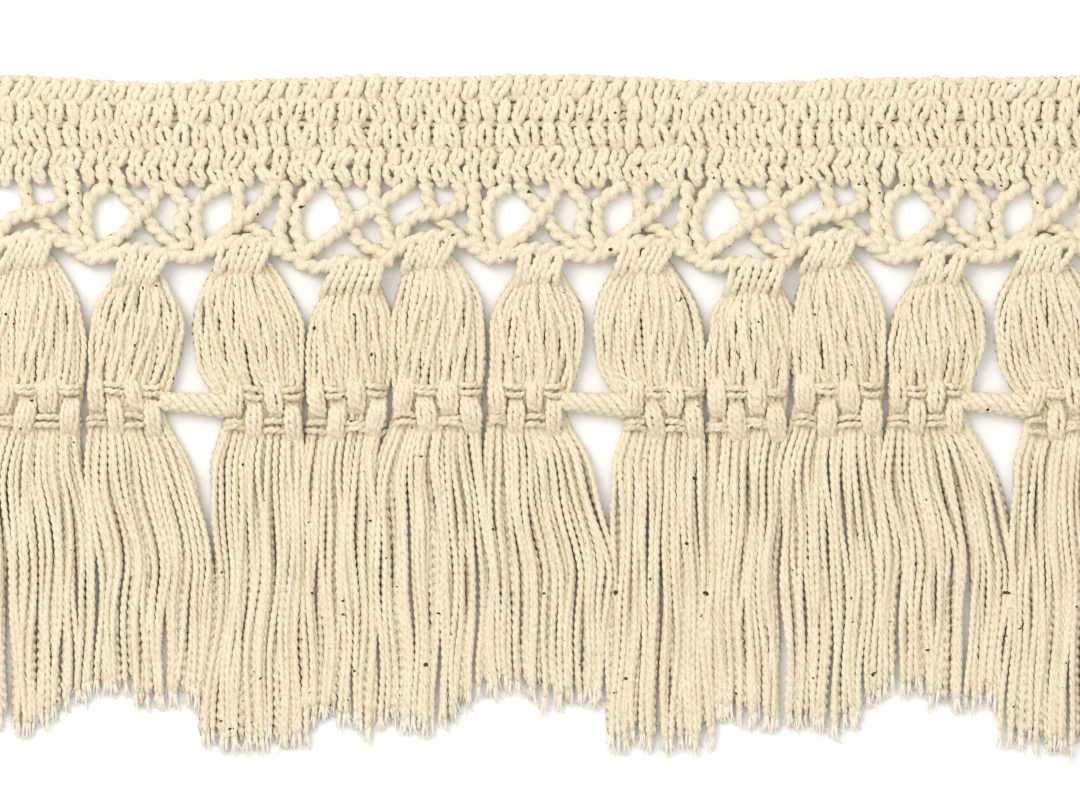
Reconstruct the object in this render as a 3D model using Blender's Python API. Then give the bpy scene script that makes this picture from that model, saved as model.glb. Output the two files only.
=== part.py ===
"""Cotton fringe trim: a cut length with a crocheted heading, a knotted net and tied bundles of yarn.

The trim lies flat on its back, seen from above. X runs along the heading, -Y down the fringe and
+Z up from the surface. The origin is the middle of the heading's flat back face.
Tables are in millimetres and are turned into metres where objects are made.
"""
import math

import bmesh
import bpy
from mathutils import Matrix

MM = 0.001

# The length of the trim and its repeat of four bundles
TRIM_HALF_LENGTH = 112.0
REPEAT = 80.0
FIRST_REPEAT_X = -102.4
REPEAT_COUNT = 3
BUNDLE_COUNT = 11
CLEARANCE = 0.3

# Crocheted heading: ribs are stitch rows from the top edge down
HEADING_TOP = 10.4
HEADING_BOTTOM = -7.4
HEADING_RIBS = 4
RIB_VALLEY = 2.5
RIB_CREST = 3.5
HEADING_STATIONS = 20
EDGE_WAVES = (
    # (wavelength, height, shift) of the uneven top edge
    (118.0, 0.7, 40.0),
    (57.0, 0.35, 5.0),
)

# Knotted net under the heading
FOOT_BAR_Y = -9.2
FOOT_BAR_HALF = 1.5
FOOT_BAR_LUMP = 8.0
CORD_HALF = 1.05
NET_LEG_TOP = FOOT_BAR_Y - 0.4
OVER_LIFT = 1.3
CHAIN_LIFT = 0.45
CELLS = (
    # One row for each bundle of the repeat. X is from the repeat's start, Y from the heading's middle.
    dict(name="a", knot=(1.8, -16.4), left_top=-0.6, right_top=5.8, hook=(7.0, -14.6), arc=-20.0, sag=0.9,
         node=(12.0, -25.3), post_top=9.2, side_top=16.0, side_bow=11.9),
    dict(name="b", knot=(23.0, -16.2), left_top=17.4, right_top=26.4, hook=(25.6, -13.4), arc=-22.9, sag=0.6,
         node=(33.4, -25.0), post_top=27.4, side_top=40.0, side_bow=33.9),
    dict(name="c", knot=(43.0, -17.6), left_top=42.0, right_top=49.8, hook=(47.4, -13.8), arc=-20.5, sag=0.9,
         node=(54.0, -25.6), post_top=51.4, side_top=57.8, side_bow=53.7),
    dict(name="d", knot=(64.6, -17.8), left_top=59.6, right_top=76.6, hook=(71.0, -13.6), arc=-25.2, sag=0.0,
         node=(72.6, -24.6), post_top=68.8, side_top=None, side_bow=None),
)

# Tied bundles: outlines from the folded head, through the petal and the woven waist, to the hem
PETAL_LOCKS = 6
FRINGE_LOCKS = 7
LOCK_GAP = 0.42
BUNDLES = (
    dict(name="a", hem=(-116.0, -117.6, -107.6), petal=(
        # (y, left, right, height)
        (-24.6, -3.2, 3.6, 3.2), (-30.6, -5.0, 8.8, 4.4), (-39.6, -7.2, 11.4, 4.8),
        (-55.2, -7.2, 11.0, 3.0)), fringe=(
        (-55.2, -7.2, 11.0, 3.0), (-67.6, -9.6, 10.4, 3.4), (-87.6, -10.4, 13.4, 2.8), (-115.0, -9.2, 12.8, 2.0))),
    dict(name="b", hem=(-108.0, -112.4, -112.0), petal=(
        (-27.6, 19.2, 25.8, 3.2), (-33.6, 13.4, 28.8, 4.6), (-40.6, 12.1, 31.4, 5.0),
        (-55.2, 11.6, 27.0, 3.0)), fringe=(
        (-55.2, 11.6, 27.0, 3.0), (-67.6, 11.2, 32.4, 3.4), (-87.6, 14.2, 37.2, 2.8), (-112.0, 15.0, 35.0, 2.0))),
    dict(name="c", hem=(-120.2, -121.0, -120.4), petal=(
        (-25.2, 39.2, 46.8, 3.2), (-31.6, 34.4, 51.2, 4.8), (-39.6, 33.0, 54.8, 5.2),
        (-56.0, 40.0, 55.0, 3.0)), fringe=(
        (-56.0, 40.0, 55.0, 3.0), (-67.6, 36.6, 55.0, 3.4), (-87.6, 38.0, 55.2, 2.8), (-120.6, 35.6, 54.8, 2.0))),
    dict(name="d", hem=(-116.0, -114.6, -118.4), petal=(
        (-30.0, 61.4, 69.6, 3.2), (-35.6, 57.4, 71.4, 4.4), (-42.6, 55.8, 72.2, 4.8),
        (-56.0, 55.8, 71.6, 3.0)), fringe=(
        (-56.0, 55.8, 71.6, 3.0), (-67.6, 55.8, 69.2, 3.4), (-87.6, 56.0, 68.0, 2.8), (-116.0, 55.6, 69.0, 2.0))),
)
HEAD_HALF = 2.55
HEAD_OVERHANG = 1.0
HEAD_RIDGES = 4
WAIST_HALF = 2.9
WAIST_RIDGES = 4
WAIST_ZIGZAG = 1.2
WAIST_SPLIT = 0.5
WAIST_INSET = 1.0
BAR_LIFT = 0.25

# Twisted bridge of tie yarn from bundle b's waist to bundle c's
BRIDGE_START = (27.7, -54.2)
BRIDGE_END = (38.9, -54.6)
BRIDGE_HALF = (1.5, 2.3)
BRIDGE_LOBE = 0.62
BRIDGE_TURNS = 1.25
BRIDGE_STEPS = 9

# Colour, roughness and metallic value of each sub-part
FINISHES = dict(
    heading=((0.83, 0.73, 0.53, 1.0), 0.92, 0.0),
    net=((0.85, 0.75, 0.55, 1.0), 0.92, 0.0),
    bundle=((0.86, 0.76, 0.56, 1.0), 0.94, 0.0),
    bridge=((0.84, 0.74, 0.53, 1.0), 0.92, 0.0),
)


def clear_scene():
    """Removes the scene's objects."""
    for obj in list(bpy.data.objects):
        bpy.data.objects.remove(obj)


def new_collection(name):
    collection = bpy.data.collections.new(name)
    bpy.context.scene.collection.children.link(collection)
    return collection


def finish(kind):
    """The shared material of one kind of sub-part."""
    found = bpy.data.materials.get(kind)
    if found:
        return found
    colour, roughness, metallic = FINISHES[kind]
    material = bpy.data.materials.new(kind)
    material.use_nodes = True
    shader = material.node_tree.nodes["Principled BSDF"]
    shader.inputs["Base Color"].default_value = colour
    shader.inputs["Roughness"].default_value = roughness
    shader.inputs["Metallic"].default_value = metallic
    return material


def blend(start, end, share):
    return start + (end - start) * share


def read_rows(rows, y):
    """(left, right, height) of an outline table at one y, by straight lines between its rows."""
    for upper, lower in zip(rows, rows[1:]):
        if y >= lower[0]:
            share = (upper[0] - y) / (upper[0] - lower[0])
            return tuple(blend(a, b, share) for a, b in zip(upper[1:], lower[1:]))
    return rows[-1][1:]


def yarn_mesh(name, strands, sides, aspect):
    """A mesh of closed tubes with 4 or 6 sides and flat undersides, one for each strand.

    A strand is a list of (x, y, lift, half_width) in millimetres; lift is the height of its
    underside, and aspect is a section's height over its width.
    """
    curve = bpy.data.curves.new(name, "CURVE")
    curve.dimensions = "3D"
    curve.twist_mode = "Z_UP"
    curve.bevel_depth = MM
    curve.bevel_resolution = (sides - 4) // 2
    curve.use_fill_caps = True
    flat = math.cos(math.pi / sides)
    for strand in strands:
        spline = curve.splines.new("POLY")
        spline.points.add(len(strand) - 1)
        for point, (x, y, lift, half_width) in zip(spline.points, strand):
            point.co = (x * MM, y * MM, (lift / aspect + half_width) * MM, 1.0)
            point.radius = half_width / flat
            point.tilt = math.pi / 4 if sides == 4 else 0.0
    holder = bpy.data.objects.new(name, curve)
    bpy.context.scene.collection.objects.link(holder)
    graph = bpy.context.evaluated_depsgraph_get()
    mesh = bpy.data.meshes.new_from_object(holder.evaluated_get(graph))
    bpy.data.objects.remove(holder)
    work = bmesh.new()
    work.from_mesh(mesh)
    bmesh.ops.remove_doubles(work, verts=work.verts, dist=1e-6)
    work.to_mesh(mesh)
    work.free()
    mesh.transform(Matrix.Diagonal((1.0, 1.0, aspect, 1.0)))
    return mesh


def place(collection, name, mesh, kind):
    obj = bpy.data.objects.new(name, mesh)
    mesh.materials.clear()
    mesh.materials.append(finish(kind))
    collection.objects.link(obj)
    return obj


def join_bar(target, bar, crossing=False):
    """Fuses a bar or knot into target, and keeps it as a hidden guide."""
    bar.hide_render = True
    bar.display_type = "WIRE"
    union = target.modifiers.new("fuse_" + bar.name, "BOOLEAN")
    union.operation = "UNION"
    union.solver = "EXACT"
    union.use_self = crossing
    union.object = bar


def edge_wave(x):
    """How far the trim's top edge strays from straight at one x."""
    return sum(height * math.sin(2 * math.pi * (x + shift) / length) for length, height, shift in EDGE_WAVES)


def heading_surface(row, x):
    """(y, z) of the ribbed top of the heading; row counts half ribs from the bottom edge."""
    half_ribs = 2 * HEADING_RIBS
    share = row / half_ribs
    top = HEADING_TOP + edge_wave(x)
    y = blend(HEADING_BOTTOM, top, share)
    z = RIB_CREST if row % 2 else RIB_VALLEY
    return y, z


def make_heading(collection):
    """The heading: a grid bent into stitch rows, drawn down to a flat back."""
    work = bmesh.new()
    rows = 2 * HEADING_RIBS + 1
    bmesh.ops.create_grid(work, x_segments=HEADING_STATIONS, y_segments=rows - 1, size=1.0)
    for vert in work.verts:
        x = vert.co.x * TRIM_HALF_LENGTH
        row = round((vert.co.y + 1.0) / 2.0 * (rows - 1))
        y, z = heading_surface(row, x)
        vert.co = (x * MM, y * MM, z * MM)
    top_faces = list(work.faces)
    made = bmesh.ops.extrude_face_region(work, geom=top_faces)
    for item in made["geom"]:
        if isinstance(item, bmesh.types.BMVert):
            item.co.z = 0.0
    back = [item for item in made["geom"] if isinstance(item, bmesh.types.BMFace)]
    bmesh.ops.dissolve_faces(work, faces=back, use_verts=False)
    bmesh.ops.recalc_face_normals(work, faces=work.faces)
    mesh = bpy.data.meshes.new("heading_band")
    work.to_mesh(mesh)
    work.free()
    return place(collection, "heading_band", mesh, "heading")


def ridged_bar(start, end, half, ridges, zigzag, lift):
    """One strand along X that swells at each ridge and steps up and down by zigzag."""
    (x0, y0), (x1, y1) = start, end
    steps = 2 * ridges
    strand = []
    for step in range(steps + 1):
        share = step / steps
        on_ridge = step % 2 == 1
        at_end = step in (0, steps)
        ridge = min(step, steps - 1) // 2
        side = 1 if ridge % 2 == 0 else -1
        x = blend(x0, x1, share)
        y = blend(y0, y1, share) + (side * zigzag if on_ridge or at_end else 0.0)
        strand.append((x, y, lift, half * (1.0 if on_ridge else 0.55 if at_end else 0.78)))
    return strand


def cell_strands(cell, x0, left_node):
    """The cords of one net cell: a crossed knot over the head, the chain round it and the side posts."""
    knot_x, knot_y = cell["knot"][0] + x0, cell["knot"][1]
    node_x, node_y = cell["node"][0] + x0, cell["node"][1]
    hook_x, hook_y = cell["hook"][0] + x0, cell["hook"][1]
    left_x, left_y = left_node
    left_top, right_top, post_top = (cell[key] + x0 for key in ("left_top", "right_top", "post_top"))
    arc_y = cell["arc"]
    shoulder_y = arc_y - cell["sag"]
    head_x = (left_x + node_x) / 2

    def cord(points, lift):
        last = len(points) - 1
        return [(x, y, lift, CORD_HALF * (0.8 if i in (0, last) else 1.0)) for i, (x, y) in enumerate(points)]

    strands = [
        cord([(left_top, NET_LEG_TOP), (blend(left_top, knot_x, 0.45), -13.2), (knot_x - 0.3, knot_y),
              (blend(knot_x, node_x, 0.4), blend(knot_y, node_y, 0.42)), (node_x - 0.3, node_y + 0.6)], 0.0),
        cord([(right_top, NET_LEG_TOP), (hook_x, hook_y), (knot_x + 0.3, knot_y),
              (blend(knot_x, left_x, 0.5), blend(knot_y, left_y, 0.34)), (left_x + 0.3, left_y + 0.9)], OVER_LIFT),
        cord([(left_x - 0.6, left_y), (blend(left_x, head_x, 0.25), shoulder_y), (head_x, arc_y),
              (blend(head_x, node_x, 0.75), shoulder_y), (node_x + 0.6, node_y)], CHAIN_LIFT),
        cord([(post_top, NET_LEG_TOP), (node_x - 1.6, -15.4), (node_x - 1.9, -19.6), (node_x - 0.4, node_y)], OVER_LIFT / 2),
    ]
    if cell["side_top"] is not None and cell["side_top"] + x0 < TRIM_HALF_LENGTH:
        side_top, side_bow = cell["side_top"] + x0, cell["side_bow"] + x0
        strands.append(cord([(side_top, NET_LEG_TOP), (blend(side_top, side_bow, 0.85), -14.2),
                             (side_bow, -19.0), (node_x + 1.2, node_y + 0.2)], 0.15))
    return strands


def make_net(collection, guides, cells):
    """The net: crossed cords fused to one another and to the ridged foot bar under the heading."""
    strands = []
    left_node = (FIRST_REPEAT_X - 8.0, CELLS[-1]["node"][1])
    for cell, x0 in cells:
        strands += cell_strands(cell, x0, left_node)
        left_node = (cell["node"][0] + x0, cell["node"][1])
    net = place(collection, "net_cords", yarn_mesh("net_cords", strands, 4, 1.0), "net")
    ends = TRIM_HALF_LENGTH - 0.4
    ridges = round(2 * ends / FOOT_BAR_LUMP)
    bar = ridged_bar((-ends, FOOT_BAR_Y), (ends, FOOT_BAR_Y), FOOT_BAR_HALF, ridges, 0.0, 0.3)
    guide = place(guides, "net_foot_bar", yarn_mesh("net_foot_bar", [bar], 4, 1.0), "net")
    join_bar(net, guide, crossing=True)
    return net


def lock_strands(rows, count, x0, ends=None):
    """Side by side locks between an outline's left and right edges.

    With ends, (left, middle, right) y values of the hem, each lock runs on to its own end.
    """
    strands = []
    for number in range(count):
        share = (number + 0.5) / count
        stations = [row[0] for row in rows]
        if ends:
            low, mid, high = ends
            stations[-1] = blend(low, mid, 2 * share) if share < 0.5 else blend(mid, high, 2 * share - 1)
        strand = []
        for y in stations:
            left, right, height = read_rows(rows, y)
            half_width = ((right - left) / count - LOCK_GAP) / 2
            strand.append((x0 + blend(left, right, share), y, 0.0, half_width, height))
        strands.append(strand)
    return strands


def lock_mesh(name, strands):
    """Locks as flat-bottomed tubes of 4 sides whose heights follow the outline table."""
    mesh = yarn_mesh(name, [[row[:4] for row in strand] for strand in strands], 4, 1.0)
    ring = {}
    for strand in strands:
        for x, y, _, half_width, height in strand:
            ring[(round(x, 3), round(y, 3))] = height / (2 * half_width)
    keys = list(ring)
    for vert in mesh.vertices:
        x, y = vert.co.x / MM, vert.co.y / MM
        nearest = min(keys, key=lambda key: (key[0] - x) ** 2 + (key[1] - y) ** 2)
        vert.co.z *= ring[nearest]
    return mesh


def make_bundle(collection, guides, number, bundle, x0):
    """One tied bundle: locks from its folded head, through the waist, to the cut hem, all one piece."""
    name = f"bundle_{number:02d}_{bundle['name']}"
    petal, fringe = bundle["petal"], bundle["fringe"]
    upper = petal[:-1] + ((petal[-1][0] + WAIST_SPLIT,) + petal[-1][1:],)
    lower = ((fringe[0][0] - WAIST_SPLIT,) + fringe[0][1:],) + fringe[1:]
    strands = lock_strands(upper, PETAL_LOCKS, x0) + lock_strands(lower, FRINGE_LOCKS, x0, bundle["hem"])
    body = place(collection, name, lock_mesh(name, strands), "bundle")
    head_y, head_left, head_right, _ = petal[0]
    head = ridged_bar((x0 + head_left - HEAD_OVERHANG, head_y), (x0 + head_right + HEAD_OVERHANG, head_y),
                      HEAD_HALF, HEAD_RIDGES, 0.0, BAR_LIFT)
    waist_y, waist_left, waist_right, _ = fringe[0]
    waist = ridged_bar((x0 + waist_left + WAIST_INSET, waist_y), (x0 + waist_right - WAIST_INSET, waist_y),
                       WAIST_HALF, WAIST_RIDGES, WAIST_ZIGZAG, BAR_LIFT)
    head_guide = place(guides, name + "_head", yarn_mesh(name + "_head", [head], 6, 0.92), "bundle")
    waist_guide = place(guides, name + "_waist", yarn_mesh(name + "_waist", [waist], 6, 0.86), "bundle")
    join_bar(body, head_guide, crossing=True)
    join_bar(body, waist_guide, crossing=True)
    return body


def make_bridge(collection, number, x0):
    """A two-ply twist between the waists of bundles b and c."""
    (start_x, start_y), (end_x, end_y) = BRIDGE_START, BRIDGE_END
    work = bmesh.new()
    rings = []
    sides = 6
    for step in range(BRIDGE_STEPS):
        share = step / (BRIDGE_STEPS - 1)
        half = blend(*BRIDGE_HALF, share)
        x = x0 + blend(start_x + CLEARANCE, end_x - CLEARANCE, share)
        y = blend(start_y, end_y, share)
        turn = 2 * math.pi * BRIDGE_TURNS * share
        ring = []
        for side in range(sides):
            angle = 2 * math.pi * side / sides
            reach = half * (1 - (1 - BRIDGE_LOBE) * abs(math.sin(angle - turn)))
            up = max(half + reach * math.sin(angle), 0.12 * half)
            ring.append(work.verts.new((x * MM, (y + reach * math.cos(angle)) * MM, up * MM)))
        rings.append(ring)
    for ring, following in zip(rings, rings[1:]):
        for side in range(sides):
            after = (side + 1) % sides
            work.faces.new((ring[side], ring[after], following[after], following[side]))
    work.faces.new(rings[0])
    work.faces.new(rings[-1])
    bmesh.ops.recalc_face_normals(work, faces=work.faces)
    name = f"tie_bridge_{number}"
    mesh = bpy.data.meshes.new(name)
    work.to_mesh(mesh)
    work.free()
    return place(collection, name, mesh, "bridge")


def build():
    clear_scene()
    trim = new_collection("fringe_trim")
    guides = new_collection("guides")
    guides.hide_render = True
    places = [(row, FIRST_REPEAT_X + REPEAT * repeat) for repeat in range(REPEAT_COUNT) for row in range(len(BUNDLES))]
    places = places[:BUNDLE_COUNT]
    make_heading(trim)
    make_net(trim, guides, [(CELLS[row], x0) for row, x0 in places])
    for number, (row, x0) in enumerate(places, start=1):
        make_bundle(trim, guides, number, BUNDLES[row], x0)
    for repeat in range(REPEAT_COUNT):
        make_bridge(trim, repeat + 1, FIRST_REPEAT_X + REPEAT * repeat)


build()
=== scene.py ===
"""The looks of a knotted cotton fringe trim that lies flat under soft studio light.

Every strand is a plied yarn swept along a smooth path. Tables are in millimetres and follow the
frame of the solid part: X along the trim, -Y down the fringe and +Z up from the surface.
"""
from __future__ import annotations

import logging
import math
from dataclasses import dataclass
from enum import Enum
from typing import Iterable, Sequence

import bpy
import numpy as np
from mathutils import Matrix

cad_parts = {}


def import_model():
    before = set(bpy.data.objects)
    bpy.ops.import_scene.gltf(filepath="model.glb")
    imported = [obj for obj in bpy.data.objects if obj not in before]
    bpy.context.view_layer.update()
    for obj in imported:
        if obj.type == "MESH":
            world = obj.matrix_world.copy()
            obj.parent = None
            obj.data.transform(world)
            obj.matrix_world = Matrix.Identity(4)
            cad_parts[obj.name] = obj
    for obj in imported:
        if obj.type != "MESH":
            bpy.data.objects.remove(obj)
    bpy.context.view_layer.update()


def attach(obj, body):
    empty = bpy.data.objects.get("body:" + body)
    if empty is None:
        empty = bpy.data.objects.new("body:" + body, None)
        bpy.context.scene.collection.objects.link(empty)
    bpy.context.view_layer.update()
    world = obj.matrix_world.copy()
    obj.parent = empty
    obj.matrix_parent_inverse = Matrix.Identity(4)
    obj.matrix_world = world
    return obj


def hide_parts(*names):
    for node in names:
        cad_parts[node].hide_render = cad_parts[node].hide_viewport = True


LOG = logging.getLogger("fringe_trim")
MM = 0.001
SEED = 4993
HALF_LENGTH = 112.0
REPEAT = 80.0
FIRST_REPEAT_X = -102.4
BUNDLE_COUNT = 11

# A twist may start at any angle up to a full turn
ANY_TURN = 6.28
# Share of a yarn's radius at its two ends
END_SHARE = 0.5
# Share of the spacing that a groove between plies reaches across
GROOVE_REACH = 3.0

Point = tuple[float, float, float]


class Slot(Enum):
    """Material slots of the trim's record."""

    HEADING = "heading"
    NET = "net"
    BUNDLE = "bundle"
    BRIDGE = "bridge"


class Across(Enum):
    """The world axis a strand's path never runs along, which steadies its cross-section."""

    UP = (0.0, 0.0, 1.0)
    ALONG = (1.0, 0.0, 0.0)


@dataclass(frozen=True)
class Yarn:
    """The build of one plied yarn, in millimetres.

    Args:
        radius: Outer radius over the plies.
        step: Spacing of the cross-sections along the yarn.
        sides: Corners of one cross-section; each section turns on by one corner.
        plies: Number of plies, or 0 for a smooth strand.
        groove: Share of the radius that is left in the groove between plies.
    """

    radius: float
    step: float
    sides: int
    plies: int
    groove: float

    def section(self) -> np.ndarray:
        """Returns the radius at each corner of the cross-section."""
        if not self.plies:
            return np.full(self.sides, self.radius)
        corner = np.arange(self.sides) * self.plies / self.sides
        nearness = np.abs(corner - np.round(corner))
        depth = np.clip(1.0 - nearness * GROOVE_REACH, 0.0, 1.0)
        return self.radius * (1.0 - (1.0 - self.groove) * depth)


FRINGE_YARN = Yarn(radius=0.70, step=0.56, sides=6, plies=2, groove=0.66)
HIDDEN_YARN = Yarn(radius=0.92, step=1.90, sides=5, plies=0, groove=1.0)
PETAL_YARN = Yarn(radius=0.70, step=0.54, sides=6, plies=2, groove=0.66)
STITCH_YARN = Yarn(radius=0.90, step=0.54, sides=6, plies=2, groove=0.72)
GROUND_YARN = Yarn(radius=0.84, step=1.1, sides=6, plies=0, groove=1.0)
BRIDGE_YARN = Yarn(radius=0.95, step=0.5, sides=6, plies=2, groove=0.76)
CORD_YARN = Yarn(radius=1.62, step=0.66, sides=8, plies=2, groove=0.66)
LOBE_YARN = Yarn(radius=0.76, step=0.54, sides=6, plies=2, groove=0.66)
HEAD_YARN = Yarn(radius=0.86, step=0.54, sides=6, plies=2, groove=0.68)
FIBRE = Yarn(radius=0.12, step=0.8, sides=3, plies=0, groove=1.0)
TUFT = Yarn(radius=0.40, step=0.9, sides=4, plies=0, groove=1.0)


def mix(start: float, end: float, share: float) -> float:
    """Returns the value that lies a share of the way from start to end."""
    return start + (end - start) * share


def smooth_path(points: Sequence[Point], step: float) -> np.ndarray:
    """Runs a smooth curve through points and samples it at even spacing.

    Args:
        points: Places the curve passes through.
        step: Spacing of the samples.

    Returns:
        An array of sampled places, one row each.
    """
    given = np.asarray(points, dtype=float)
    padded = np.vstack([2 * given[0] - given[1], given, 2 * given[-1] - given[-2]])
    share = np.linspace(0.0, 1.0, 9)[:-1, None]
    spans = []
    for index in range(len(given) - 1):
        before, start, end, after = padded[index:index + 4]
        spans.append(0.5 * (2 * start + (end - before) * share
                            + (2 * before - 5 * start + 4 * end - after) * share ** 2
                            + (3 * start - before - 3 * end + after) * share ** 3))
    fine = np.vstack(spans + [given[-1:]])
    lengths = np.concatenate([[0.0], np.cumsum(np.linalg.norm(np.diff(fine, axis=0), axis=1))])
    count = max(3, int(round(lengths[-1] / step)) + 1)
    marks = np.linspace(0.0, lengths[-1], count)
    return np.stack([np.interp(marks, lengths, fine[:, axis]) for axis in range(3)], axis=1)


class YarnPiece:
    """Gathers strands and turns them into one mesh object."""

    def __init__(self, name: str, slot: Slot) -> None:
        """Starts an empty piece.

        Args:
            name: Name of the object to be made.
            slot: Material slot of the record; not used.
        """
        self.name = name
        self.slot = slot
        self._verts: list[np.ndarray] = []
        self._faces: list[np.ndarray] = []
        self._count = 0

    def add(self, points: Sequence[Point], yarn: Yarn, across: Across = Across.UP,
            turn: float = 0.0, taper: float = 1.0) -> None:
        """Sweeps a yarn along a smooth path.

        Args:
            points: Places of the yarn's centre line.
            yarn: Build of the yarn.
            across: Axis that steadies the section.
            turn: Angle that the twist starts from.
            taper: Share of the radius that is left at the far end.
        """
        centre = smooth_path(points, yarn.step)
        rings = len(centre)
        tangent = np.gradient(centre, axis=0)
        tangent /= np.linalg.norm(tangent, axis=1)[:, None] + 1e-9
        side = np.cross(tangent, np.array(across.value))
        side /= np.linalg.norm(side, axis=1)[:, None] + 1e-9
        over = np.cross(side, tangent)
        corners = np.arange(yarn.sides)
        angle = (corners[None, :] + np.arange(rings)[:, None]) * 2 * math.pi / yarn.sides + turn
        size = np.ones(rings)
        size[[0, -1]] = END_SHARE
        size *= np.linspace(1.0, taper, rings)
        reach = yarn.section()[None, :] * size[:, None]
        verts = (centre[:, None, :] + side[:, None, :] * (reach * np.cos(angle))[:, :, None]
                 + over[:, None, :] * (reach * np.sin(angle))[:, :, None])
        verts = verts.reshape(-1, 3)
        verts[:, 2] = np.maximum(verts[:, 2], 0.0)
        near = np.arange(rings - 1)[:, None] * yarn.sides
        following = (corners + 1) % yarn.sides
        quads = np.stack([near + corners, near + yarn.sides + corners, near + yarn.sides + following,
                          near + following], axis=-1).reshape(-1, 4)
        self._verts.append(verts)
        self._faces.append(quads + self._count)
        self._count += len(verts)

    def make(self, material: bpy.types.Material, nodes: Iterable[str]) -> bpy.types.Object:
        """Makes the object, seats it on the frame and hides the solids that it stands for.

        Args:
            material: Finish of the piece.
            nodes: Solid nodes that the piece replaces.

        Returns:
            The new object.
        """
        verts = np.concatenate(self._verts) * MM
        faces = np.concatenate(self._faces)
        mesh = bpy.data.meshes.new(self.name)
        mesh.vertices.add(len(verts))
        mesh.vertices.foreach_set("co", verts.astype(np.float32).ravel())
        mesh.loops.add(faces.size)
        mesh.loops.foreach_set("vertex_index", faces.astype(np.int32).ravel())
        mesh.polygons.add(len(faces))
        mesh.polygons.foreach_set("loop_start", np.arange(0, faces.size, 4, dtype=np.int32))
        mesh.polygons.foreach_set("use_smooth", np.ones(len(faces), dtype=bool))
        mesh.update(calc_edges=True)
        mesh.validate()
        mesh.materials.append(material)
        obj = bpy.data.objects.new(self.name, mesh)
        bpy.context.scene.collection.objects.link(obj)
        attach(obj, "root")
        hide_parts(*nodes)
        LOG.info("%s has %d triangles", self.name, 2 * len(faces))
        return obj


class Value:
    """A shader socket that can be added to, multiplied and compared."""

    def __init__(self, graph: "Graph", socket: bpy.types.NodeSocket) -> None:
        """Wraps a socket.

        Args:
            graph: The node graph that holds it.
            socket: The wrapped output.
        """
        self.graph = graph
        self.socket = socket

    def _maths(self, operation: str, first: object, second: object) -> "Value":
        return self.graph.node("ShaderNodeMath", {"operation": operation}, {0: first, 1: second}).out(0)

    def __add__(self, other: object) -> "Value":
        return self._maths("ADD", self, other)

    def __radd__(self, other: object) -> "Value":
        return self._maths("ADD", other, self)

    def __sub__(self, other: object) -> "Value":
        return self._maths("SUBTRACT", self, other)

    def __rsub__(self, other: object) -> "Value":
        return self._maths("SUBTRACT", other, self)

    def __mul__(self, other: object) -> "Value":
        return self._maths("MULTIPLY", self, other)

    def __rmul__(self, other: object) -> "Value":
        return self._maths("MULTIPLY", other, self)

    def __gt__(self, other: object) -> "Value":
        return self._maths("GREATER_THAN", self, other)


class Placed:
    """A node that has been placed in a graph."""

    def __init__(self, graph: "Graph", node: bpy.types.Node) -> None:
        """Wraps a node.

        Args:
            graph: The graph that holds it.
            node: The wrapped node.
        """
        self.graph = graph
        self.node = node

    def out(self, name: object) -> Value:
        """Returns one output, by its name or its number."""
        return Value(self.graph, self.node.outputs[name])


class Graph:
    """Builds a material's node graph."""

    def __init__(self, material: bpy.types.Material) -> None:
        """Empties the material's graph.

        Args:
            material: The material to build.
        """
        material.use_nodes = True
        self.tree = material.node_tree
        self.tree.nodes.clear()

    def node(self, kind: str, settings: dict[str, object], sockets: dict[object, object]) -> Placed:
        """Places a node.

        Args:
            kind: Blender's name for the node type.
            settings: Attributes to set on it.
            sockets: Inputs by name or number, each a constant or a Value to link.

        Returns:
            The placed node.
        """
        node = self.tree.nodes.new(kind)
        for name, value in settings.items():
            setattr(node, name, value)
        for name, value in sockets.items():
            if isinstance(value, Value):
                self.tree.links.new(value.socket, node.inputs[name])
            else:
                node.inputs[name].default_value = value
        return Placed(self, node)

    def noise(self, place: Value, scale: float, detail: float) -> Value:
        """Places a noise and returns its level.

        Args:
            place: Where it is read.
            scale: Features for each metre.
            detail: Number of finer layers.

        Returns:
            The noise's level.
        """
        return self.node("ShaderNodeTexNoise", {}, {"Vector": place, "Scale": scale, "Detail": detail}).out(0)

    def blend(self, share: object, first: object, second: object) -> Value:
        """Mixes two colours by a share."""
        placed = self.node("ShaderNodeMix", {"data_type": "RGBA"}, {0: share, 6: first, 7: second})
        return placed.out(2)


Colour = tuple[float, float, float, float]

# Noise scales of the cotton, in features for each metre
PATCH_SCALE = 520.0
RELIEF_SCALE = 2600.0
SEED_SCALE = 700.0
# Scale and slant of the slanted streaks of painted shade between the fibres
SHADE_STREAK_SCALE = 2900.0
SHADE_STREAK_SLANT = 0.45
# Noise level above which a seed speck shows
SPECK_LEVEL = 0.845


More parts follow.
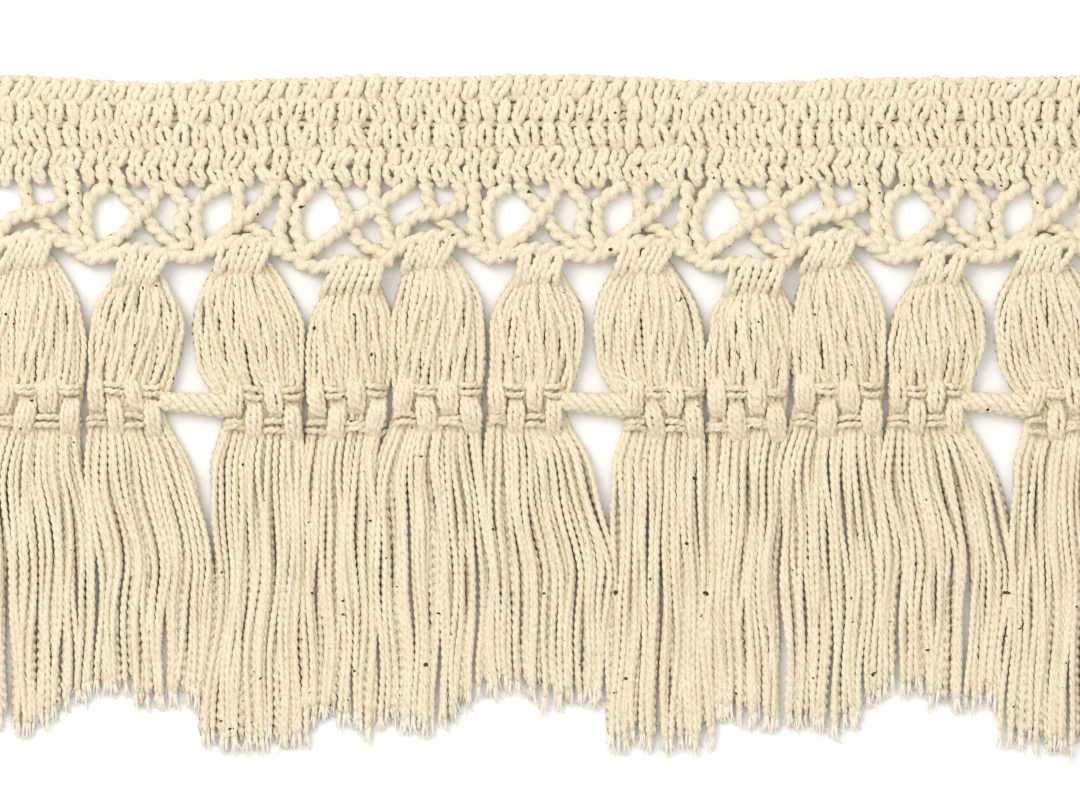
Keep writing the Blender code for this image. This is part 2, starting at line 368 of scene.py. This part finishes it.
@dataclass(frozen=True)
class CottonFinish:
    """Unbleached plied cotton.

    Args:
        name: Name of the material.
        light: Colour of the yarn's crowns.
        warm: Colour of its warmer patches.
        shade: Colour of the painted shade between its fibres, laid on in slanted streaks.
        speck: Colour of the seed specks.
        fibre: Depth of the fibres' relief.
    """

    name: str
    light: Colour
    warm: Colour
    shade: Colour
    speck: Colour
    fibre: float

    def make(self) -> bpy.types.Material:
        """Returns the material."""
        material = bpy.data.materials.new(self.name)
        graph = Graph(material)
        place = graph.node("ShaderNodeTexCoord", {}, {}).out("Object")
        lengthwise = graph.node("ShaderNodeMapping", {}, {"Vector": place, "Scale": (1.0, 0.25, 1.0)}).out(0)
        shade_streak_place = graph.node("ShaderNodeMapping", {}, {
            "Vector": place, "Rotation": (0.0, 0.0, SHADE_STREAK_SLANT), "Scale": (1.0, 0.3, 1.0)}).out(0)
        patch = graph.noise(lengthwise, PATCH_SCALE, 2.0)
        relief = graph.noise(place, RELIEF_SCALE, 3.0)
        seed = graph.noise(place, SEED_SCALE, 0.0)
        shade_streak = graph.noise(shade_streak_place, SHADE_STREAK_SCALE, 2.0)
        plain = graph.blend((patch - 0.5) * 2.2 + 0.5, self.light, self.warm)
        # Painted shade: slanted streaks of the darker shade colour stand in for the shade between the fibres
        shaded_cloth = graph.blend((shade_streak - 0.52) * 3.4, plain, self.shade)
        colour = graph.blend(seed > SPECK_LEVEL, shaded_cloth, self.speck)
        bump = graph.node("ShaderNodeBump", {}, {
            "Height": relief, "Strength": 0.55, "Distance": self.fibre}).out(0)
        surface = graph.node("ShaderNodeBsdfPrincipled", {}, {
            "Base Color": colour, "Roughness": 0.95, "Specular IOR Level": 0.12, "Normal": bump}).out(0)
        graph.node("ShaderNodeOutputMaterial", {}, {"Surface": surface})
        return material


PLIED_COTTON = CottonFinish(
    name="cotton", light=(0.90, 0.81, 0.64, 1.0), warm=(0.85, 0.74, 0.54, 1.0),
    shade=(0.60, 0.49, 0.30, 1.0), speck=(0.10, 0.06, 0.03, 1.0), fibre=0.0004)
COMBED_COTTON = CottonFinish(
    name="combed_cotton", light=(0.95, 0.90, 0.79, 1.0), warm=(0.91, 0.84, 0.70, 1.0),
    shade=(0.84, 0.76, 0.60, 1.0), speck=(0.80, 0.72, 0.58, 1.0), fibre=0.0001)


@dataclass(frozen=True)
class FloorFinish:
    """The plain pale surface under the trim.

    Args:
        colour: Its colour.
    """

    colour: Colour

    def make(self) -> bpy.types.Material:
        """Returns the material."""
        material = bpy.data.materials.new("floor")
        graph = Graph(material)
        surface = graph.node("ShaderNodeBsdfPrincipled", {}, {
            "Base Color": self.colour, "Roughness": 1.0, "Specular IOR Level": 0.0}).out(0)
        graph.node("ShaderNodeOutputMaterial", {}, {"Surface": surface})
        return material


@dataclass(frozen=True)
class StitchRow:
    """One row of the crocheted heading.

    Args:
        top: Height of the stitches' tops on the trim.
        bottom: Height of their feet.
        lean: How far each top stands to the right of its foot.
        bulge: Half the width of the loop.
        crown: Height of the loop's middle above the surface.
        offset: Share of a column by which the row is shifted.
    """

    top: float
    bottom: float
    lean: float
    bulge: float
    crown: float
    offset: float


@dataclass(frozen=True)
class HeadingSize:
    """Sizes of the heading.

    Args:
        column: Spacing of the stitch columns.
        rows: Stitch rows from the top edge down.
        waves: Wavelength, height and shift of the waves of the top edge.
    """

    column: float = 3.2
    rows: tuple[StitchRow, ...] = (
        StitchRow(10.1, 6.1, 1.2, 0.70, 2.9, 0.0),
        StitchRow(6.5, 1.5, 0.2, 0.74, 3.1, 0.35),
        StitchRow(1.7, -3.5, -0.5, 0.78, 3.1, 0.1),
        StitchRow(-3.3, -7.1, 0.9, 0.72, 3.0, 0.55),
        StitchRow(-6.5, -10.4, -0.9, 0.74, 3.0, 0.2),
    )
    waves: tuple[tuple[float, float, float], ...] = ((118.0, 0.7, 40.0), (57.0, 0.35, 5.0))


class Heading:
    """The crocheted heading band."""

    def __init__(self, size: HeadingSize, rng: np.random.Generator) -> None:
        """Keeps the sizes.

        Args:
            size: Sizes of the heading.
            rng: Seeded source of unevenness.
        """
        self.size = size
        self.rng = rng
        self.pieces = [YarnPiece("heading_stitches", Slot.HEADING), YarnPiece("heading_ground", Slot.HEADING)]

    def wave(self, x: float) -> float:
        """Returns how far the top edge strays from straight at one place."""
        return sum(height * math.sin(2 * math.pi * (x + shift) / length)
                   for length, height, shift in self.size.waves)

    def _stitch(self, row: StitchRow, x: float) -> None:
        top_share = max(0.0, row.top / 11.0)
        lift = self.wave(x) * top_share
        loose = self.rng.normal(0.0, 0.24, 10)
        lean = row.lean + loose[0] * 2.2
        top, bottom = row.top + lift + loose[1], row.bottom + lift * 0.7 + loose[2]
        middle = mix(bottom, top, 0.5)
        crown = row.crown - STITCH_YARN.radius + loose[3] * 0.8
        for side in (-1, 1):
            bulge = side * row.bulge * (1.0 + loose[4 + (side > 0)])
            path = [
                (x - lean / 2 - side * 0.25, bottom - 0.7, 0.9),
                (x - lean / 2 + bulge * 0.8, mix(bottom, top, 0.18), mix(1.2, crown, 0.75)),
                (x + bulge * 1.15 + loose[6] * 0.4, middle, crown + 0.12 * side),
                (x + lean / 2 + bulge * 0.75, mix(bottom, top, 0.84), mix(1.2, crown, 0.7)),
                (x + lean / 2 - side * 0.2, top + 0.5, 0.9),
            ]
            self.pieces[0].add(path, STITCH_YARN, turn=float(self.rng.uniform(0, ANY_TURN)))

    def build(self) -> None:
        """Lays the stitches and the chains behind them."""
        count = int(2 * (HALF_LENGTH - 1.6) / self.size.column)
        for row in self.size.rows:
            for column in range(count + 1):
                across = (column + row.offset * 0.5) * self.size.column
                x = -HALF_LENGTH + 1.9 + across + float(self.rng.normal(0, 0.16))
                if x < HALF_LENGTH - 1.4:
                    self._stitch(row, x)
        for row in self.size.rows[:-1]:
            for share, reach in ((0.95, 0.35), (0.62, 0.3), (0.3, 0.35)):
                y = mix(row.bottom, row.top, share)
                xs = np.arange(-HALF_LENGTH + 0.8, HALF_LENGTH - 0.6, self.size.column / 2)
                path = [(float(x), y + self.wave(float(x)) * max(0.0, y / 11.0) + reach * (-1) ** index, 0.86)
                        for index, x in enumerate(xs)]
                self.pieces[1].add(path, GROUND_YARN)

    def dress(self, cotton: bpy.types.Material) -> None:
        """Makes the pieces.

        Args:
            cotton: Finish of the yarn.
        """
        for piece in self.pieces:
            piece.make(cotton, ["heading_band"])


@dataclass(frozen=True)
class Cell:
    """One cell of the net, measured from its repeat's start.

    Args:
        knot: Where the two cords cross.
        left_arm: Where the cord from the upper left starts, and a place on its way.
        right_arm: The same for the cord from the upper right.
        left_leg: A place on the way from the knot to the node on the left.
        right_leg: A place on the way from the knot to the node on the right.
        node: Where the cords meet between this bundle and the next.
        arc: Height of the chain over the head.
        post: Places of the post at the right of the cell.
        side: Places of the post beyond the node, or none.
    """

    knot: tuple[float, float]
    left_arm: tuple[tuple[float, float], tuple[float, float]]
    right_arm: tuple[tuple[float, float], tuple[float, float]]
    left_leg: tuple[float, float]
    right_leg: tuple[float, float]
    node: tuple[float, float]
    arc: float
    post: tuple[tuple[float, float], ...]
    side: tuple[tuple[float, float], ...]


CELLS = (
    Cell(knot=(1.6, -16.4), left_arm=((-0.6, -9.6), (0.0, -14.0)),
         right_arm=((5.8, -9.6), (6.8, -14.2)), left_leg=(-3.6, -17.8), right_leg=(5.2, -20.0),
         node=(12.0, -25.4), arc=-20.9,
         post=((9.2, -9.6), (9.6, -16.6), (9.4, -20.0), (11.2, -24.6)),
         side=((16.6, -10.6), (12.6, -13.4), (11.8, -19.0), (14.0, -25.4))),
    Cell(knot=(23.0, -16.2), left_arm=((17.6, -9.6), (20.0, -13.0)),
         right_arm=((26.4, -9.6), (25.2, -13.6)), left_leg=(19.2, -20.4), right_leg=(26.4, -20.6),
         node=(33.4, -25.0), arc=-23.4,
         post=((27.4, -9.6), (31.6, -15.0), (30.4, -18.6), (32.6, -23.6)),
         side=((40.0, -10.2), (34.4, -14.0), (33.6, -18.0), (35.0, -24.6))),
    Cell(knot=(43.0, -17.8), left_arm=((42.0, -9.6), (42.2, -14.6)),
         right_arm=((49.8, -9.6), (47.4, -13.8)), left_leg=(39.6, -20.6), right_leg=(47.0, -20.4),
         node=(54.0, -25.6), arc=-22.0,
         post=((51.4, -9.8), (51.8, -14.0), (50.4, -20.0), (52.4, -24.4)),
         side=((57.8, -9.6), (54.4, -14.4), (53.4, -19.0), (55.8, -25.4))),
    Cell(knot=(64.6, -18.0), left_arm=((59.6, -9.6), (62.6, -13.6)),
         right_arm=((77.0, -9.8), (72.0, -13.6)), left_leg=(60.8, -20.8), right_leg=(66.8, -22.4),
         node=(72.4, -24.8), arc=-25.8,
         post=((68.8, -9.6), (69.6, -14.6), (71.4, -18.6), (72.6, -23.6)),
         side=()),
)


class Net:
    """The openwork of crossed cords between heading and bundles."""

    def __init__(self, rng: np.random.Generator) -> None:
        """Starts the net.

        Args:
            rng: Seeded source of unevenness.
        """
        self.rng = rng
        self.piece = YarnPiece("net_strands", Slot.NET)

    def _cord(self, places: Sequence[tuple[float, float]], heights: Sequence[float], x0: float) -> None:
        path = [(x + x0 + float(self.rng.normal(0, 0.12)), y + float(self.rng.normal(0, 0.12)), z)
                for (x, y), z in zip(places, heights)]
        self.piece.add(path, CORD_YARN, turn=float(self.rng.uniform(0, ANY_TURN)))

    def _cell(self, cell: Cell, x0: float, left: tuple[float, float], last: bool) -> None:
        node = cell.node
        self._cord([cell.left_arm[0], cell.left_arm[1], cell.knot, cell.right_leg, node],
                   (1.5, 1.2, 1.3, 1.3, 1.4), x0)
        self._cord([cell.right_arm[0], cell.right_arm[1], cell.knot, cell.left_leg, left],
                   (1.6, 1.3, 2.6, 1.5, 1.8), x0)
        head = (left[0] + node[0]) / 2
        self._cord([(left[0] - 0.8, left[1] - 0.4), (mix(left[0], head, 0.45), cell.arc - 1.2),
                    (head, cell.arc),
                    (mix(head, node[0], 0.55), cell.arc - 1.2), (node[0] + 0.8, node[1] - 0.5)],
                   (1.6, 2.2, 2.9, 2.3, 1.5), x0)
        self._cord(cell.post, (1.5, 1.9, 2.0, 2.1), x0)
        if cell.side and not last:
            self._cord(cell.side, (1.5, 1.3, 1.5, 1.7), x0)

    def build(self, places: Sequence[tuple[int, float]]) -> None:
        """Lays every cell's cords.

        Args:
            places: Row of the repeat and start of the repeat for each bundle.
        """
        for number, (row, x0) in enumerate(places):
            before = CELLS[row - 1].node if row else (CELLS[-1].node[0] - REPEAT, CELLS[-1].node[1])
            if not number:
                before = (-8.0, -24.8)
            self._cell(CELLS[row], x0, before, number == len(places) - 1)

    def dress(self, cotton: bpy.types.Material) -> None:
        """Makes the piece.

        Args:
            cotton: Finish of the cords.
        """
        self.piece.make(cotton, ["net_cords"])


@dataclass(frozen=True)
class Row:
    """One line of a bundle's outline: place down the fringe, left edge, right edge and height."""

    y: float
    left: float
    right: float
    height: float


@dataclass(frozen=True)
class BundleSize:
    """Outline of one tied bundle, measured from its repeat's start.

    Args:
        letter: The bundle's letter in the repeat.
        petal: Outline from the head to the waist.
        fringe: Outline from the waist to the hem.
        hem: Height of the hem at the left, the middle and the right.
        petal_yarns: Yarns that show in the petal.
        fringe_yarns: Yarns that show in the fringe.
        zigzag: Half the step between the waist's two rows of lobes.
    """

    letter: str
    petal: tuple[Row, ...]
    fringe: tuple[Row, ...]
    hem: tuple[float, float, float]
    petal_yarns: int
    fringe_yarns: int
    zigzag: float


BUNDLES = (
    BundleSize(letter="a",
               petal=(Row(-24.6, -3.2, 3.6, 3.0), Row(-30.6, -6.4, 10.2, 4.2),
                      Row(-39.6, -7.9, 11.9, 4.6), Row(-48.0, -7.7, 11.9, 3.8), Row(-55.2, -7.0, 11.0, 2.6)),
               fringe=(Row(-55.2, -7.0, 10.8, 2.6), Row(-67.6, -9.6, 10.4, 3.4), Row(-87.6, -10.4, 13.4, 3.0),
                Row(-117.0, -9.2, 12.8, 2.2)),
               hem=(-116.0, -118.0, -108.6), petal_yarns=19, fringe_yarns=27, zigzag=1.9),
    BundleSize(letter="b",
               petal=(Row(-27.6, 19.0, 26.0, 3.0), Row(-33.6, 13.2, 30.6, 4.2),
                      Row(-40.6, 11.9, 31.9, 4.6), Row(-48.6, 11.9, 30.2, 3.8), Row(-55.2, 11.8, 27.0, 2.6)),
               fringe=(Row(-55.2, 12.0, 27.0, 2.6), Row(-67.6, 11.2, 32.4, 3.4), Row(-87.6, 14.2, 37.2, 3.0),
                Row(-112.0, 15.0, 35.0, 2.2)),
               hem=(-109.0, -112.4, -112.0), petal_yarns=19, fringe_yarns=25, zigzag=1.9),
    BundleSize(letter="c",
               petal=(Row(-25.6, 39.0, 47.0, 3.0), Row(-31.6, 33.8, 53.2, 4.4),
                      Row(-39.6, 32.4, 55.7, 4.8), Row(-48.6, 34.0, 55.6, 3.8), Row(-56.0, 40.0, 55.0, 2.6)),
               fringe=(Row(-56.0, 39.6, 55.0, 2.6), Row(-67.6, 36.6, 55.0, 3.4), Row(-87.6, 38.0, 55.2, 3.0),
                Row(-121.0, 35.6, 54.8, 2.2)),
               hem=(-120.4, -121.0, -120.6), petal_yarns=21, fringe_yarns=23, zigzag=2.3),
    BundleSize(letter="d",
               petal=(Row(-29.4, 61.0, 70.0, 3.0), Row(-35.6, 56.4, 73.2, 4.0),
                      Row(-42.6, 55.3, 73.6, 4.4), Row(-49.6, 55.3, 72.8, 3.6), Row(-56.0, 55.8, 71.6, 2.6)),
               fringe=(Row(-56.0, 55.8, 71.6, 2.6), Row(-67.6, 55.8, 69.4, 3.4), Row(-87.6, 56.0, 68.6, 3.0),
                Row(-117.0, 55.6, 69.2, 2.2)),
               hem=(-116.0, -114.6, -118.4), petal_yarns=16, fringe_yarns=19, zigzag=2.3),
)


class Bundle:
    """One bundle: folded head, petal, woven waist and fringe."""

    def __init__(self, size: BundleSize, x0: float, rng: np.random.Generator,
                 fringe: YarnPiece, petal: YarnPiece, waist: YarnPiece, hem: YarnPiece) -> None:
        """Keeps the sizes and the pieces that the strands are added to.

        Args:
            size: Outline of the bundle.
            x0: Start of its repeat.
            rng: Seeded source of unevenness.
            fringe: Piece for the loose ends.
            petal: Piece for the petal.
            waist: Piece for the head and the waist.
            hem: Piece for the fibres at the cut ends.
        """
        self.size = size
        self.x0 = x0
        self.rng = rng
        self.fringe = fringe
        self.petal = petal
        self.waist = waist
        self.hem = hem
        self.swing = rng.uniform(0.0, 2 * math.pi, 3)

    @staticmethod
    def read(rows: Sequence[Row], y: float) -> tuple[float, float, float]:
        """Returns left edge, right edge and height of an outline at one place."""
        for upper, lower in zip(rows, rows[1:]):
            if y >= lower.y:
                share = min(1.0, max(0.0, (upper.y - y) / (upper.y - lower.y)))
                share = share * share * (3 - 2 * share) * 0.5 + share * 0.5
                return (mix(upper.left, lower.left, share), mix(upper.right, lower.right, share),
                        mix(upper.height, lower.height, share))
        last = rows[-1]
        return last.left, last.right, last.height

    def _hem(self, share: float) -> float:
        left, middle, right = self.size.hem
        return mix(left, middle, 2 * share) if share < 0.5 else mix(middle, right, 2 * share - 1)

    def _fringe_yarn(self, share: float, yarn: Yarn, lift: float) -> None:
        rows = self.size.fringe
        top = rows[0].y + 1.0
        end = self._hem(share) + float(self.rng.normal(0.4, 0.9))
        phase = self.swing + np.array([2.2, 3.5, 9.0]) * share + self.rng.normal(0.0, 0.75, 3)
        drift = float(self.rng.normal(0, 0.045))
        path: list[Point] = []
        for station in np.linspace(0.0, 1.0, 13):
            y = mix(top, end, float(station))
            left, right, height = self.read(rows, y)
            wave = 0.55 * math.sin(station * 6.0 + phase[0])
            ripple = 0.30 * math.sin(station * 14.0 + phase[1])
            sway = (wave + ripple) * min(1.0, station * 4)
            spread = 1.3 * min(1.0, station * 3.0)
            x = self.x0 + mix(left + 0.6 - spread, right - 0.6 + spread, share + drift * station) + sway
            floor_z = yarn.radius
            crown = max(height - yarn.radius, floor_z)
            layer = 0.5 + 0.5 * math.sin(station * 9.0 + phase[2])
            z = mix(floor_z, crown, min(1.0, lift * 0.75 + 0.45 * layer * (lift > 0))) if lift else floor_z
            path.append((x, y, z))
        self.fringe.add(path, yarn, turn=float(phase[0]))
        if yarn is FRINGE_YARN:
            self._frayed_end(path[-1])

    def _frayed_end(self, end: Point) -> None:
        for _ in range(3):
            drift = self.rng.normal(0.0, 0.6, 2)
            length = float(self.rng.uniform(1.8, 4.2))
            foot = (end[0] + drift[0], end[1] - length, max(0.4, end[2] * 0.45))
            bend = (mix(end[0], foot[0], 0.35) + drift[1] * 0.3, mix(end[1], foot[1], 0.5), end[2] * 0.8)
            self.hem.add([(end[0], end[1] + 1.6, end[2]), bend, foot], TUFT, taper=0.35)
        for _ in range(5):
            spread = self.rng.normal(0.0, 0.75, 3)
            length = float(self.rng.uniform(1.0, 3.4))
            tip = (end[0] + spread[0], end[1] - length, max(0.12, end[2] * 0.4 + spread[2] * 0.3))
            bend = (mix(end[0], tip[0], 0.4), mix(end[1], tip[1], 0.5), mix(end[2], tip[2], 0.5))
            self.hem.add([(end[0] + spread[1] * 0.4, end[1] + 0.6, end[2] + 0.2), bend, tip], FIBRE)

    def _petal_yarn(self, share: float, number: int, yarn: Yarn, under: bool, cross: float = 0.0) -> None:
        rows = self.size.petal
        loose = self.rng.normal(0.0, 0.3, 6)
        start, end = rows[0].y + 1.2, rows[-1].y - 0.5
        path: list[Point] = []
        for index, station in enumerate(np.linspace(0.0, 1.0, 8)):
            y = mix(start, end, float(station))
            left, right, height = self.read(rows, y)
            room = (right - left) / (2 * yarn.radius * max(1, self.size.petal_yarns))
            crowding = max(0.0, min(1.0, 1.15 - room))
            here = min(0.98, max(0.02, share + cross * (float(station) - 0.5)))
            across = 2 * here - 1
            dome = 1.0 - 0.55 * across * across
            slack = 0.6 * float(loose[index % 6]) * math.sin(math.pi * station)
            x = self.x0 + mix(left + 0.5, right - 0.5, here) + slack
            z = yarn.radius + (height - 2 * yarn.radius) * dome
            z -= 0.9 * crowding * (number % 2)
            if abs(cross) > 0.2:
                z += 0.55 * math.sin(math.pi * station)
            if under:
                z = yarn.radius + 0.2
            path.append((x, y, max(yarn.radius, z)))
        self.petal.add(path, yarn, turn=float(self.rng.uniform(0, ANY_TURN)))

    def _head(self) -> None:
        first = self.size.petal[0]
        count = 7
        for number in range(count):
            x = self.x0 + mix(first.left - 0.7, first.right - 0.1, number / (count - 1))
            lean = float(self.rng.normal(1.2, 0.4))
            y = first.y + 0.25 * math.sin(math.pi * number / (count - 1))
            path = [(x - lean, y - 3.8, 1.8), (x - lean * 0.5, y - 1.8, 3.8), (x + lean * 0.4, y + 0.6, 4.2),
                    (x + lean, y + 2.7, 3.4), (x + lean, y + 3.3, 1.8), (x + lean * 0.9, y + 2.4, 0.9)]
            self.waist.add(path, HEAD_YARN, across=Across.ALONG, turn=float(self.rng.uniform(0, ANY_TURN)))

    def _waist(self) -> None:
        first = self.size.fringe[0]
        lobes = 4
        width = (first.right - first.left) / lobes
        for lobe in range(lobes):
            side = 1 if lobe % 2 == 0 else -1
            middle = first.y + 0.6 + side * self.size.zigzag + float(self.rng.normal(0, 0.35))
            tilt = float(self.rng.normal(0, 0.45))
            per_lobe = max(3, int(round(width / 1.12)))
            for number in range(per_lobe):
                across = (number + 0.5) / per_lobe
                x = self.x0 + first.left + (lobe + mix(0.06, 0.94, across)) * width
                pinch = (across - 0.5) * width * 0.28
                crown = 4.25 - 1.3 * (2 * across - 1) ** 2
                loose = self.rng.normal(0.0, 0.12, 3)
                path = [(x - pinch * 1.3 + loose[0] + tilt, middle + 4.2, 1.2),
                        (x - pinch * 0.6 + tilt * 0.6, middle + 2.5, 3.0),
                        (x + loose[1], middle, crown + loose[2]),
                        (x - pinch * 0.6 - tilt * 0.6, middle - 2.5, 3.0),
                        (x - pinch * 1.3 + loose[0] - tilt, middle - 4.2, 1.2)]
                self.waist.add(path, LOBE_YARN, turn=float(self.rng.uniform(0, ANY_TURN)))
        for side in (1, -1):
            for number in range(2):
                y = first.y + 0.6 + side * (2.0 + 1.25 * number + self.size.zigzag * 0.45)
                path = [(self.x0 + first.left - 0.2, y, 1.4)]
                for lobe in range(lobes):
                    over = (1 if lobe % 2 == 0 else -1) != side
                    x = self.x0 + first.left + (lobe + 0.5) * width
                    slack = float(self.rng.normal(0, 0.35))
                    path.append((x, y + slack - (0.5 * side if over else 0.0), 3.9 if over else 1.3))
                path.append((self.x0 + first.right + 0.2, y, 1.4))
                self.waist.add(path, PETAL_YARN, turn=float(self.rng.uniform(0, ANY_TURN)))

    def build(self) -> None:
        """Lays every strand of the bundle."""
        shown = self.size.fringe_yarns
        under = shown // 2 + 4
        for number in range(under):
            self._fringe_yarn((number + 0.5) / under, HIDDEN_YARN, 0.0)
        for number in range(shown):
            share = (number + 0.5) / shown + float(self.rng.normal(0, 0.007))
            self._fringe_yarn(min(0.99, max(0.01, share)), FRINGE_YARN, 1.0 if number % 2 else 0.45)
        petals = self.size.petal_yarns
        for number in range(petals - 4):
            self._petal_yarn((number + 0.5) / (petals - 4), number, HIDDEN_YARN, True)
        for number in range(petals):
            cross = float(self.rng.normal(0, 0.05))
            self._petal_yarn((number + 0.5) / petals, number, PETAL_YARN, False, cross)
        slant = 1.0 if self.rng.random() < 0.5 else -1.0
        for number in range(5):
            share = 0.5 + 0.16 * (number - 2) + float(self.rng.normal(0, 0.03))
            self._petal_yarn(share, 0, PETAL_YARN, False, slant * float(self.rng.uniform(0.25, 0.5)))
        self._head()
        self._waist()


class Bridge:
    """The twisted tie between the waists of bundles b and c."""

    def __init__(self, x0: float, piece: YarnPiece) -> None:
        """Keeps the place.

        Args:
            x0: Start of the repeat.
            piece: Piece that the strands are added to.
        """
        self.x0 = x0
        self.piece = piece

    def build(self) -> None:
        """Winds four yarns round one another."""
        for strand in range(4):
            path: list[Point] = []
            for station in np.linspace(0.0, 1.0, 17):
                angle = 2 * math.pi * (1.7 * station + strand / 4)
                reach = mix(1.15, 1.75, float(station))
                x = self.x0 + mix(26.2, 40.6, float(station))
                y = mix(-53.8, -54.9, float(station)) + reach * math.cos(angle)
                path.append((x, y, 2.3 + 0.75 * reach * math.sin(angle)))
            self.piece.add(path, BRIDGE_YARN, turn=strand)


@dataclass(frozen=True)
class StudioSize:
    """Sizes of the studio, in metres.

    Args:
        floor: Width of the floor.
        drop: How far the floor lies below the trim.
        daylight: Strength of the light from all round.
        view_width: Width of the picture on the floor.
        view_y: Middle of the picture down the fringe.
        camera_height: Height of the camera.
        sensor: Width of the camera's sensor, in millimetres.
    """

    floor: float = 3.0
    drop: float = 0.0002
    daylight: float = 0.76
    view_width: float = 0.216
    view_y: float = -0.0538
    camera_height: float = 1.3
    sensor: float = 36.0


class Studio:
    """Floor, light and camera."""

    def __init__(self, size: StudioSize) -> None:
        """Keeps the sizes.

        Args:
            size: Sizes of the studio.
        """
        self.size = size

    def build(self) -> None:
        """Sets up the studio."""
        scene = bpy.context.scene
        bpy.ops.mesh.primitive_plane_add(size=self.size.floor, location=(0.0, 0.0, -self.size.drop))
        floor = bpy.context.view_layer.objects.active
        floor.name = "floor"
        floor.data.materials.append(FloorFinish((0.98, 0.98, 0.98, 1.0)).make())
        self._light("key", (-0.75, 0.55, 1.15), 0.9, 11.0)
        self._light("fill", (0.8, 0.1, 1.2), 1.4, 3.0)
        world = bpy.data.worlds.new("room")
        world.use_nodes = True
        background = world.node_tree.nodes["Background"]
        background.inputs["Color"].default_value = (1.0, 1.0, 1.0, 1.0)
        background.inputs["Strength"].default_value = self.size.daylight
        scene.world = world
        scene.view_settings.view_transform = "Standard"
        lens = bpy.data.cameras.new("camera")
        lens.sensor_width = self.size.sensor
        lens.lens = self.size.sensor * self.size.camera_height / self.size.view_width
        camera = bpy.data.objects.new("camera", lens)
        camera.location = (0.0, self.size.view_y, self.size.camera_height)
        scene.collection.objects.link(camera)
        scene.camera = camera

    @staticmethod
    def _light(name: str, place: Point, size: float, watts: float) -> None:
        lamp = bpy.data.lights.new(name, "AREA")
        lamp.size = size
        lamp.energy = watts
        lamp.color = (1.0, 0.985, 0.96)
        holder = bpy.data.objects.new(name, lamp)
        holder.location = place
        aim = -holder.location
        holder.rotation_euler = aim.to_track_quat("-Z", "Y").to_euler()
        bpy.context.scene.collection.objects.link(holder)


def main() -> None:
    """Builds the trim's looks on its frame."""
    logging.basicConfig(level=logging.INFO, format="%(message)s")
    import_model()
    rng = np.random.default_rng(SEED)
    cotton = PLIED_COTTON.make()
    fluff = COMBED_COTTON.make()
    places = [(number % 4, FIRST_REPEAT_X + REPEAT * (number // 4)) for number in range(BUNDLE_COUNT)]
    heading = Heading(HeadingSize(), rng)
    heading.build()
    heading.dress(cotton)
    net = Net(rng)
    net.build(places)
    net.dress(cotton)
    groups = [range(0, 3), range(3, 6), range(6, 9), range(9, BUNDLE_COUNT)]
    for group_number, group in enumerate(groups, start=1):
        nodes = [f"bundle_{number + 1:02d}_{BUNDLES[number % 4].letter}" for number in group]
        fringe = YarnPiece(f"fringe_{group_number}", Slot.BUNDLE)
        petal = YarnPiece(f"petals_{group_number}", Slot.BUNDLE)
        waist = YarnPiece(f"waists_{group_number}", Slot.BUNDLE)
        hem = YarnPiece(f"hem_fibres_{group_number}", Slot.BUNDLE)
        for number in group:
            row, x0 = places[number]
            Bundle(BUNDLES[row], x0, rng, fringe, petal, waist, hem).build()
        for piece in (fringe, petal, waist):
            piece.make(cotton, nodes)
        hem.make(fluff, nodes)
    for number in range(3):
        piece = YarnPiece(f"bridge_strands_{number + 1}", Slot.BRIDGE)
        Bridge(FIRST_REPEAT_X + REPEAT * number, piece).build()
        piece.make(cotton, [f"tie_bridge_{number + 1}"])
    Studio(StudioSize()).build()


if __name__ == "__main__":
    main()
